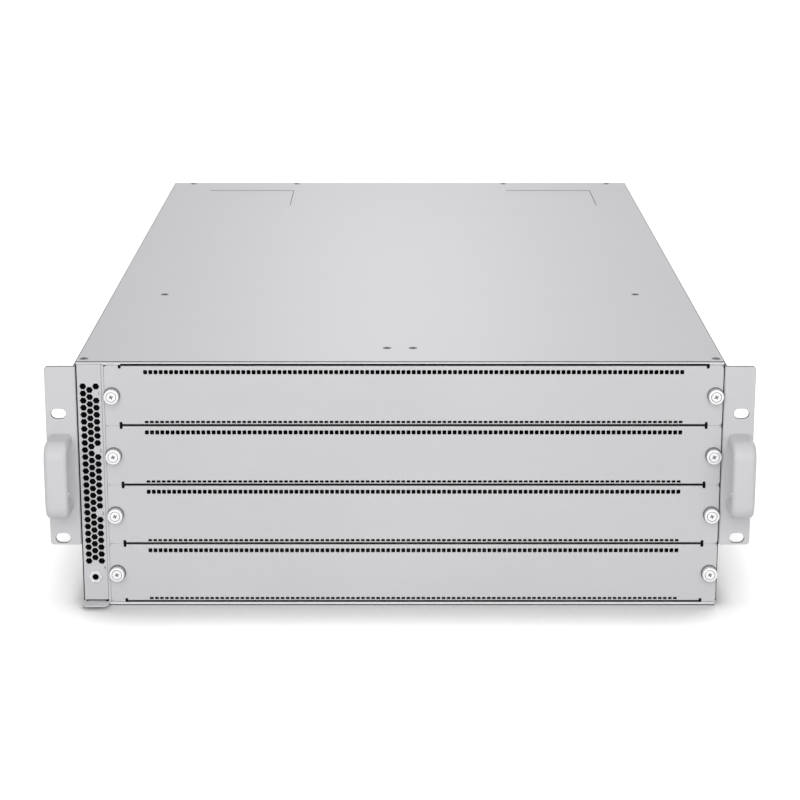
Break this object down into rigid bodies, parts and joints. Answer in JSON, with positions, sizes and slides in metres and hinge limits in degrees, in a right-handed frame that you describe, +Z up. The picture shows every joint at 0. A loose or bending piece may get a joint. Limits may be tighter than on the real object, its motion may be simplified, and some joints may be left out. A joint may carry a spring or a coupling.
{
  "type": "modular chassis switch",
  "caption": "Rack-mount network switch chassis: blanked card slots in front, vented side column, ears with bow handles, plug-in fans and power supplies behind.",
  "frame": {"origin": "middle of the flat underside", "axes": "+X to the right seen from the front, the front faces -Y, +Z up"},
  "size_m": [0.4826, 0.774, 0.1755],
  "materials": {
    "chassis_grey": "fine satin powder coat, pale grey",
    "cover_grey": "fine satin powder coat, pale grey",
    "panel_grey": "fine satin powder coat, light grey",
    "ear_grey": "fine satin powder coat, light grey",
    "handle_grey": "satin paint on cast metal",
    "bright_metal": "turned, bright satin",
    "plated_steel": "zinc plated",
    "nickel": "nickel plated",
    "dark_screw": "blackened steel",
    "board": "green solder mask",
    "black_plastic": "moulded, fine grain",
    "label_plastic": "moulded, pale grey",
    "latch_plastic": "moulded, green"
  },
  "bodies": {
    "chassis": {"chassis_tray": "chassis_grey", "top_cover": "cover_grey", "cover_screws": "dark_screw", "front_frame": "plated_steel", "vent_grille": "chassis_grey", "esd_jack": "nickel", "esd_nut": "nickel", "left_ear": "ear_grey", "right_ear": "ear_grey", "left_handle": "handle_grey", "right_handle": "handle_grey", "handle_screws": "plated_steel", "ear_screws": "plated_steel", "left_card_guides": "plated_steel", "right_card_guides": "plated_steel", "backplane": "board", "backplane_connectors": "black_plastic", "rear_frame": "chassis_grey", "bay_dividers": "plated_steel", "label_holder": "plated_steel"},
    "label_card": {"label_tab": "label_plastic"},
    "panel_1": {"blank_panel_1": "panel_grey"},
    "panel_1_left_screw": {"thumbscrew_1_left": "bright_metal"},
    "panel_1_right_screw": {"thumbscrew_1_right": "bright_metal"},
    "panel_2": {"blank_panel_2": "panel_grey"},
    "panel_2_left_screw": {"thumbscrew_2_left": "bright_metal"},
    "panel_2_right_screw": {"thumbscrew_2_right": "bright_metal"},
    "panel_3": {"blank_panel_3": "panel_grey"},
    "panel_3_left_screw": {"thumbscrew_3_left": "bright_metal"},
    "panel_3_right_screw": {"thumbscrew_3_right": "bright_metal"},
    "panel_4": {"blank_panel_4": "panel_grey"},
    "panel_4_left_screw": {"thumbscrew_4_left": "bright_metal"},
    "panel_4_right_screw": {"thumbscrew_4_right": "bright_metal"},
    "fan_1": {"fan_1_housing": "plated_steel"},
    "fan_1_wheel": {"fan_1_rotor": "black_plastic"},
    "fan_1_knob": {"fan_1_screw": "bright_metal"},
    "fan_2": {"fan_2_housing": "plated_steel"},
    "fan_2_wheel": {"fan_2_rotor": "black_plastic"},
    "fan_2_knob": {"fan_2_screw": "bright_metal"},
    "fan_3": {"fan_3_housing": "plated_steel"},
    "fan_3_wheel": {"fan_3_rotor": "black_plastic"},
    "fan_3_knob": {"fan_3_screw": "bright_metal"},
    "supply_1": {"supply_1_case": "plated_steel", "supply_1_inlet": "black_plastic"},
    "supply_1_wheel": {"supply_1_rotor": "black_plastic"},
    "supply_1_catch": {"supply_1_latch": "latch_plastic"},
    "supply_2": {"supply_2_case": "plated_steel", "supply_2_inlet": "black_plastic"},
    "supply_2_wheel": {"supply_2_rotor": "black_plastic"},
    "supply_2_catch": {"supply_2_latch": "latch_plastic"},
    "supply_3": {"supply_3_case": "plated_steel", "supply_3_inlet": "black_plastic"},
    "supply_3_wheel": {"supply_3_rotor": "black_plastic"},
    "supply_3_catch": {"supply_3_latch": "latch_plastic"},
    "supply_4": {"supply_4_case": "plated_steel", "supply_4_inlet": "black_plastic"},
    "supply_4_wheel": {"supply_4_rotor": "black_plastic"},
    "supply_4_catch": {"supply_4_latch": "latch_plastic"},
    "management": {"management_module": "plated_steel"},
    "management_catch": {"management_latch": "latch_plastic"}
  },
  "joints": [
    {"name": "label_slide", "type": "slide", "parent": "chassis", "child": "label_card", "axis": [0, -1, 0], "range_m": [0, 0.07]},
    {"name": "panel_1_slide", "type": "slide", "parent": "chassis", "child": "panel_1", "axis": [0, -1, 0], "range_m": [0, 0.06]},
    {"name": "panel_1_left_screw_turn", "type": "hinge", "parent": "panel_1", "child": "panel_1_left_screw", "pos_m": [-0.1958, -0.36, 0.1512], "axis": [0, -1, 0], "continuous": true},
    {"name": "panel_1_right_screw_turn", "type": "hinge", "parent": "panel_1", "child": "panel_1_right_screw", "pos_m": [0.2144, -0.36, 0.1512], "axis": [0, -1, 0], "continuous": true},
    {"name": "panel_2_slide", "type": "slide", "parent": "chassis", "child": "panel_2", "axis": [0, -1, 0], "range_m": [0, 0.06]},
    {"name": "panel_2_left_screw_turn", "type": "hinge", "parent": "panel_2", "child": "panel_2_left_screw", "pos_m": [-0.1958, -0.36, 0.1088], "axis": [0, -1, 0], "continuous": true},
    {"name": "panel_2_right_screw_turn", "type": "hinge", "parent": "panel_2", "child": "panel_2_right_screw", "pos_m": [0.2144, -0.36, 0.1088], "axis": [0, -1, 0], "continuous": true},
    {"name": "panel_3_slide", "type": "slide", "parent": "chassis", "child": "panel_3", "axis": [0, -1, 0], "range_m": [0, 0.06]},
    {"name": "panel_3_left_screw_turn", "type": "hinge", "parent": "panel_3", "child": "panel_3_left_screw", "pos_m": [-0.1958, -0.36, 0.0664], "axis": [0, -1, 0], "continuous": true},
    {"name": "panel_3_right_screw_turn", "type": "hinge", "parent": "panel_3", "child": "panel_3_right_screw", "pos_m": [0.2144, -0.36, 0.0664], "axis": [0, -1, 0], "continuous": true},
    {"name": "panel_4_slide", "type": "slide", "parent": "chassis", "child": "panel_4", "axis": [0, -1, 0], "range_m": [0, 0.06]},
    {"name": "panel_4_left_screw_turn", "type": "hinge", "parent": "panel_4", "child": "panel_4_left_screw", "pos_m": [-0.1958, -0.36, 0.024], "axis": [0, -1, 0], "continuous": true},
    {"name": "panel_4_right_screw_turn", "type": "hinge", "parent": "panel_4", "child": "panel_4_right_screw", "pos_m": [0.2144, -0.36, 0.024], "axis": [0, -1, 0], "continuous": true},
    {"name": "fan_1_slide", "type": "slide", "parent": "chassis", "child": "fan_1", "axis": [0, 1, 0], "range_m": [0, 0.165]},
    {"name": "fan_1_spin", "type": "hinge", "parent": "fan_1", "child": "fan_1_wheel", "pos_m": [-0.1452, 0.36, 0.1091], "axis": [0, 1, 0], "continuous": true},
    {"name": "fan_1_knob_turn", "type": "hinge", "parent": "fan_1", "child": "fan_1_knob", "pos_m": [-0.0772, 0.36, 0.1091], "axis": [0, 1, 0], "continuous": true},
    {"name": "fan_2_slide", "type": "slide", "parent": "chassis", "child": "fan_2", "axis": [0, 1, 0], "range_m": [0, 0.165]},
    {"name": "fan_2_spin", "type": "hinge", "parent": "fan_2", "child": "fan_2_wheel", "pos_m": [0, 0.36, 0.1091], "axis": [0, 1, 0], "continuous": true},
    {"name": "fan_2_knob_turn", "type": "hinge", "parent": "fan_2", "child": "fan_2_knob", "pos_m": [0.068, 0.36, 0.1091], "axis": [0, 1, 0], "continuous": true},
    {"name": "fan_3_slide", "type": "slide", "parent": "chassis", "child": "fan_3", "axis": [0, 1, 0], "range_m": [0, 0.165]},
    {"name": "fan_3_spin", "type": "hinge", "parent": "fan_3", "child": "fan_3_wheel", "pos_m": [0.1452, 0.36, 0.1091], "axis": [0, 1, 0], "continuous": true},
    {"name": "fan_3_knob_turn", "type": "hinge", "parent": "fan_3", "child": "fan_3_knob", "pos_m": [0.2132, 0.36, 0.1091], "axis": [0, 1, 0], "continuous": true},
    {"name": "supply_1_slide", "type": "slide", "parent": "chassis", "child": "supply_1", "axis": [0, 1, 0], "range_m": [0, 0.29]},
    {"name": "supply_1_spin", "type": "hinge", "parent": "supply_1", "child": "supply_1_wheel", "pos_m": [-0.1614, 0.36, 0.0226], "axis": [0, 1, 0], "continuous": true},
    {"name": "supply_1_latch_press", "type": "slide", "parent": "supply_1", "child": "supply_1_catch", "axis": [-1, 0, 0], "range_m": [0, 0.0035], "stiffness_N_per_m": 600},
    {"name": "supply_2_slide", "type": "slide", "parent": "chassis", "child": "supply_2", "axis": [0, 1, 0], "range_m": [0, 0.29]},
    {"name": "supply_2_spin", "type": "hinge", "parent": "supply_2", "child": "supply_2_wheel", "pos_m": [-0.0742, 0.36, 0.0226], "axis": [0, 1, 0], "continuous": true},
    {"name": "supply_2_latch_press", "type": "slide", "parent": "supply_2", "child": "supply_2_catch", "axis": [-1, 0, 0], "range_m": [0, 0.0035], "stiffness_N_per_m": 600},
    {"name": "supply_3_slide", "type": "slide", "parent": "chassis", "child": "supply_3", "axis": [0, 1, 0], "range_m": [0, 0.29]},
    {"name": "supply_3_spin", "type": "hinge", "parent": "supply_3", "child": "supply_3_wheel", "pos_m": [0.013, 0.36, 0.0226], "axis": [0, 1, 0], "continuous": true},
    {"name": "supply_3_latch_press", "type": "slide", "parent": "supply_3", "child": "supply_3_catch", "axis": [-1, 0, 0], "range_m": [0, 0.0035], "stiffness_N_per_m": 600},
    {"name": "supply_4_slide", "type": "slide", "parent": "chassis", "child": "supply_4", "axis": [0, 1, 0], "range_m": [0, 0.29]},
    {"name": "supply_4_spin", "type": "hinge", "parent": "supply_4", "child": "supply_4_wheel", "pos_m": [0.1002, 0.36, 0.0226], "axis": [0, 1, 0], "continuous": true},
    {"name": "supply_4_latch_press", "type": "slide", "parent": "supply_4", "child": "supply_4_catch", "axis": [-1, 0, 0], "range_m": [0, 0.0035], "stiffness_N_per_m": 600},
    {"name": "management_slide", "type": "slide", "parent": "chassis", "child": "management", "axis": [0, 1, 0], "range_m": [0, 0.29]},
    {"name": "management_latch_press", "type": "slide", "parent": "management", "child": "management_catch", "axis": [-1, 0, 0], "range_m": [0, 0.0035], "stiffness_N_per_m": 600}
  ]
}
